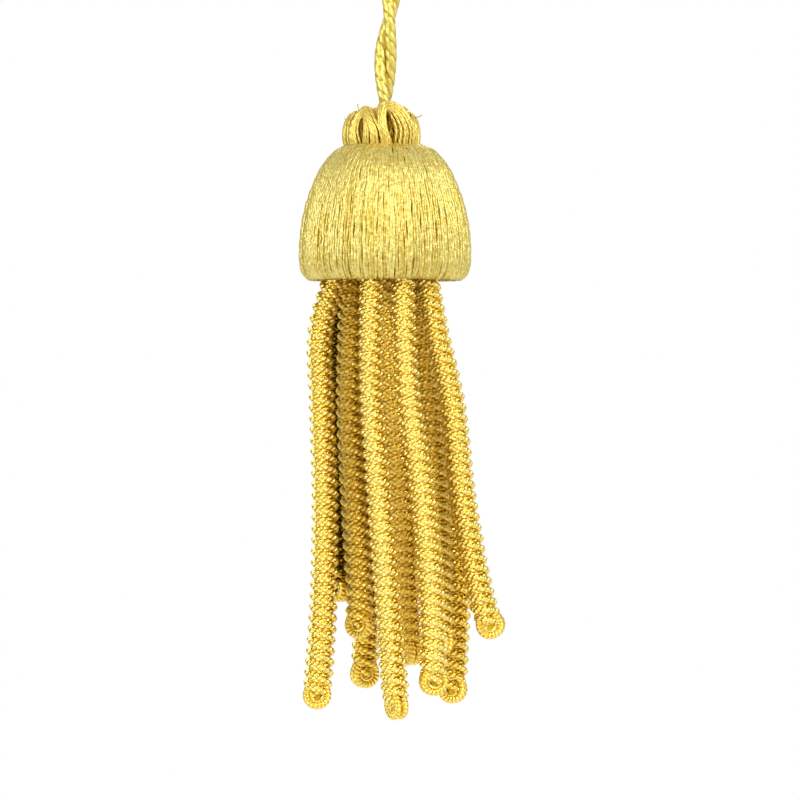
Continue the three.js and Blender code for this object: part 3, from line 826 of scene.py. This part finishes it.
def strand_yarns(strand, sizes, chance):
    """All the yarns of one bullion strand and its end loop."""
    heights = STRAND_HEIGHTS + [strand["tip"]]
    points = np.stack((strand["across"], strand["depth"], heights), axis=1) * MM
    route = smooth_route(points, STRAND["step"] * MM)
    far = np.arange(len(route)) * float(np.linalg.norm(route[1] - route[0]))
    along = unit(np.gradient(route, axis=0))
    side = unit(np.cross(BACKWARD, along))
    front = np.cross(along, side)
    eye = int(np.argmax(far >= far[-1] - sizes.end_loop / 2))
    route, far, along, side, front = (values[: eye + 1] for values in (route, far, along, side, front))
    share = far / far[-1]
    start = TURN * chance.random()
    lay = TURN * far / sizes.strand_lay
    grow = (sizes.strand_root + (sizes.strand_tip - sizes.strand_root) * share) / sizes.strand_root
    draw_in = grow * (1 - STRAND["draw_in"] * ease((far - far[-1]) / (STRAND["draw_in_length"] * MM) + 1))
    reach = sizes.strand_root / 2 - sizes.ply_spread - sizes.ridged_yarn / 2
    lean = math.radians(STRAND["lean"] + jitter(chance, STRAND["lean_chance"]))
    swing = np.sin(TURN * (STRAND["swings"] * share + chance.random()))
    lean = lean + math.radians(STRAND["lean_swing"]) * swing
    sides = STRAND["sides"]
    # Painted light and shade round each yarn: lighter on its outer face, darker on its inner side
    shade = STRAND["round_shade"] * np.cos(TURN * np.arange(sides) / sides)
    # Painted shade for the strand's place in depth
    depth = np.interp(np.mean(strand["depth"]), DEPTHS, DEPTH_SHADES)
    # Painted shade inside the skirt, fading out towards the strand's end
    inside = strand["skirt_shade"] * ease((route[:, 2] / MM - SKIRT_SHADE["end_z"]) / SKIRT_SHADE["fade"])

    def facing(turn):
        return side * np.cos(turn)[:, None] + front * np.sin(turn)[:, None]

    # A yarn's tone: its level and chance, with painted light and shade round it, for its depth and inside
    # the skirt
    def toned(level, skirt_shade):
        return level + jitter(chance, STRAND["tone_chance"]) + shade + depth - skirt_shade

    yarns = YarnMesh()
    for ply in range(PLIES):
        turn = start + TURN * ply / PLIES - lay
        outward = facing(turn)
        middle = route + outward * (reach * draw_in)[:, None]
        # Painted shade on the parts of a ply that face the front
        skirt_shade = (SKIRT_SHADE["tone"] * inside * np.clip(-outward[:, 1], 0.0, 1.0) ** SKIRT_SHADE["falloff"])[:, None]
        aside = np.cross(unit(np.gradient(middle, axis=0)), outward)
        for apart in RIDGED_TURNS:
            own = (turn + math.pi / 2 + lean + TURN * apart)[:, None]
            spread = (sizes.ply_spread * grow)[:, None]
            line = middle + (outward * np.cos(own) + aside * np.sin(own)) * spread
            radius = sizes.ridged_yarn / 2 * grow[:, None] * between(chance, STRAND["ridged_thickness"])
            tone = toned(STRAND["ridged_tone"], skirt_shade)
            yarns.sweep(line[None], outward[None], radius[None], sides, tone, RIDGED)
        leaf = middle - outward * sizes.leaf_sink
        radius = sizes.leaf_yarn / 2 * grow[:, None]
        tone = toned(STRAND["leaf_tone"], skirt_shade)
        yarns.sweep(leaf[None], outward[None], radius[None], sides, tone, SMOOTH)
        outward = facing(turn + TURN / PLIES / 2)
        groove_reach = sizes.strand_root / 2 * draw_in - sizes.groove_sink - sizes.groove_yarn / 2
        groove = route + outward * groove_reach[:, None]
        # Painted shade: the groove yarn between plies is toned darker
        tone = toned(STRAND["groove_shade"], skirt_shade)
        yarns.sweep(groove[None], outward[None], sizes.groove_yarn / 2, sides, tone, RIDGED)
    # The core behind the yarns is toned darker, as painted shade in the gaps between them
    core = route[:: STRAND["core_every"]]
    outward = np.broadcast_to(BACKWARD, (1, len(core), 3))
    radius = STRAND["core_thickness"] / 2 * MM
    yarns.sweep(core[None], outward, radius, STRAND["core_sides"], STRAND["core_shade"], SMOOTH)
    end_loop(yarns, route[-1], along[-1], side[-1], front[-1], strand["face"], sizes)
    return yarns


def end_loop(yarns, eye, down, side, front, face, sizes):
    """Adds a strand's turned-back end, ridged yarns outside and smooth ones beside a small eye."""
    turn = math.radians(face)
    across = side * math.cos(turn) + front * math.sin(turn)
    normal = np.cross(across, down)
    bend = np.linspace(0.0, math.pi, END_LOOP["bend_points"])[:, None]
    top = END_LOOP["rise"] * MM
    rise = np.linspace(top, 0.0, END_LOOP["rise_points"], endpoint=False)[:, None]
    for row in END_LOOP_YARNS:
        radius = row["thick"] / 2 * MM
        reach = sizes.end_loop / 2 * row["reach"] - radius
        middle = eye + normal * row["aside"] * MM
        draw = reach * (1 - END_LOOP["draw_in"] * ease(rise / top))
        left = middle - down * rise + across * draw
        right = (middle - down * rise - across * draw)[::-1]
        curve = middle + across * reach * np.cos(bend) + down * reach * np.sin(bend)
        line = even_points(np.vstack((left, curve, right)), END_LOOP["step"] * MM)
        outward = np.broadcast_to(normal, (1, len(line), 3))
        yarns.sweep(line[None], outward, radius, END_LOOP["sides"], row["tone"], row["finish"])
    below = np.linspace(LOOP_FILL["top"], LOOP_FILL["foot"], LOOP_FILL["points"])[:, None]
    fill = eye + down * below * MM
    outward = np.broadcast_to(normal, (1, len(fill), 3))
    radius = LOOP_FILL["thickness"] / 2 * MM
    yarns.sweep(fill[None], outward, radius, LOOP_FILL["sides"], LOOP_FILL["tone"], SMOOTH)


class TASSEL_OT_bullion(bpy.types.Operator):
    """Twists the bullion strands and fixes their heading under the head"""

    bl_idname = "tassel.bullion"
    bl_label = "Bullion Strands"

    def execute(self, context):
        sizes, colours = context.scene.tassel_sizes, context.scene.tassel_colours
        chance = np.random.default_rng(SEEDS["bullion"])
        light, deep = colours.bullion_light, colours.bullion_deep
        ridged = yarn_finish("bullion_ridged_yarn", light, deep, RIDGED_LOOK)
        smooth = yarn_finish("bullion_smooth_yarn", light, deep, SMOOTH_LOOK)
        looped = yarn_finish("bullion_loop_yarn", light, deep, LOOP_LOOK)
        for number, strand in enumerate(STRANDS, 1):
            yarns = strand_yarns(strand, sizes, chance)
            piece = yarns.build(f"bullion_strand_{number:02d}", ridged, smooth, looped)
            place_piece(piece, "skirt")
        # The heading takes the crown's deep and core colours, as painted shade under the rim
        heading_finish = yarn_finish("heading_yarn", colours.crown_deep, colours.crown_core, HEADING_LOOK)
        heading = turned_form("heading", HEADING_LINE, HEADING_SIDES, heading_finish)
        place_piece(heading, "skirt")
        return {"FINISHED"}


class TASSEL_OT_stage(bpy.types.Operator):
    """Sets the camera, the soft white studio light and the pale floor"""

    bl_idname = "tassel.stage"
    bl_label = "Stage"

    def execute(self, context):
        sizes, colours = context.scene.tassel_sizes, context.scene.tassel_colours
        bpy.ops.object.select_all(action="DESELECT")
        bpy.ops.object.camera_add(location=CAMERA["place"], rotation=(math.pi / 2, 0.0, 0.0))
        camera = context.object
        camera.name = "camera"
        camera.data.sensor_width = CAMERA["film"]
        camera.data.lens = CAMERA["lens"]
        context.scene.camera = camera
        for row in LIGHTS:
            turn = [math.radians(degrees) for degrees in row["turn"]]
            bpy.ops.object.light_add(type="AREA", location=row["place"], rotation=turn)
            lamp = context.object
            lamp.name = row["name"]
            lamp.data.size = row["size"]
            lamp.data.energy = row["power"]
        world = bpy.data.worlds.new("white_studio")
        world.use_nodes = True
        context.scene.world = world
        tree = world.node_tree
        light = tree.nodes["Background"]
        light.inputs["Color"].default_value = WHITE
        light.inputs["Strength"].default_value = STUDIO_STRENGTH
        seen = add_node(tree, "ShaderNodeBackground", (0, -160))
        seen.inputs["Color"].default_value = WHITE
        ray = add_node(tree, "ShaderNodeLightPath", (0, 340))
        both = add_node(tree, "ShaderNodeMixShader", (240, 100))
        tree.links.new(ray.outputs["Is Camera Ray"], both.inputs[0])
        tree.links.new(light.outputs[0], both.inputs[1])
        tree.links.new(seen.outputs[0], both.inputs[2])
        tree.links.new(both.outputs[0], tree.nodes["World Output"].inputs["Surface"])
        context.scene.view_settings.view_transform = "Standard"
        floor_finish = bpy.data.materials.new("pale_floor")
        floor_finish.use_nodes = True
        shader = floor_finish.node_tree.nodes["Principled BSDF"]
        shader.inputs["Base Color"].default_value = (*colours.floor, 1.0)
        shader.inputs["Roughness"].default_value = FLOOR["roughness"]
        radius, top, edge = sizes.floor_radius / MM, -sizes.floor_drop / MM, FLOOR["edge"]
        profile = [(radius, top - FLOOR["thickness"]), (radius, top - edge), (radius - edge, top)]
        floor = turned_form("floor", profile, FLOOR["sides"], floor_finish)
        return {"FINISHED"}


class TASSEL_PT_sidebar(bpy.types.Panel):
    """Sizes, colours and pieces of the tassel"""

    bl_idname = "TASSEL_PT_sidebar"
    bl_label = "Bullion Tassel"
    bl_space_type = "VIEW_3D"
    bl_region_type = "UI"
    bl_category = "Tassel"

    def draw(self, context):
        for group in (context.scene.tassel_sizes, context.scene.tassel_colours):
            box = self.layout.box()
            for name in group.bl_rna.properties.keys():
                if name not in ("rna_type", "name"):
                    box.prop(group, name)
        for operator in PIECES:
            self.layout.operator(operator.bl_idname)


PIECES = (TASSEL_OT_stage, TASSEL_OT_hanging_cord, TASSEL_OT_crown, TASSEL_OT_head, TASSEL_OT_bullion)
CLASSES = (TasselSizes, TasselColours, *PIECES, TASSEL_PT_sidebar)


def register():
    for part in CLASSES:
        bpy.utils.register_class(part)
    bpy.types.Scene.tassel_sizes = bpy.props.PointerProperty(type=TasselSizes)
    bpy.types.Scene.tassel_colours = bpy.props.PointerProperty(type=TasselColours)


def unregister():
    del bpy.types.Scene.tassel_colours
    del bpy.types.Scene.tassel_sizes
    for part in reversed(CLASSES):
        bpy.utils.unregister_class(part)


def main():
    register()
    bpy.ops.tassel.stage()
    bpy.ops.tassel.hanging_cord()
    bpy.ops.tassel.crown()
    bpy.ops.tassel.head()
    bpy.ops.tassel.bullion()


if __name__ == "__main__":
    main()
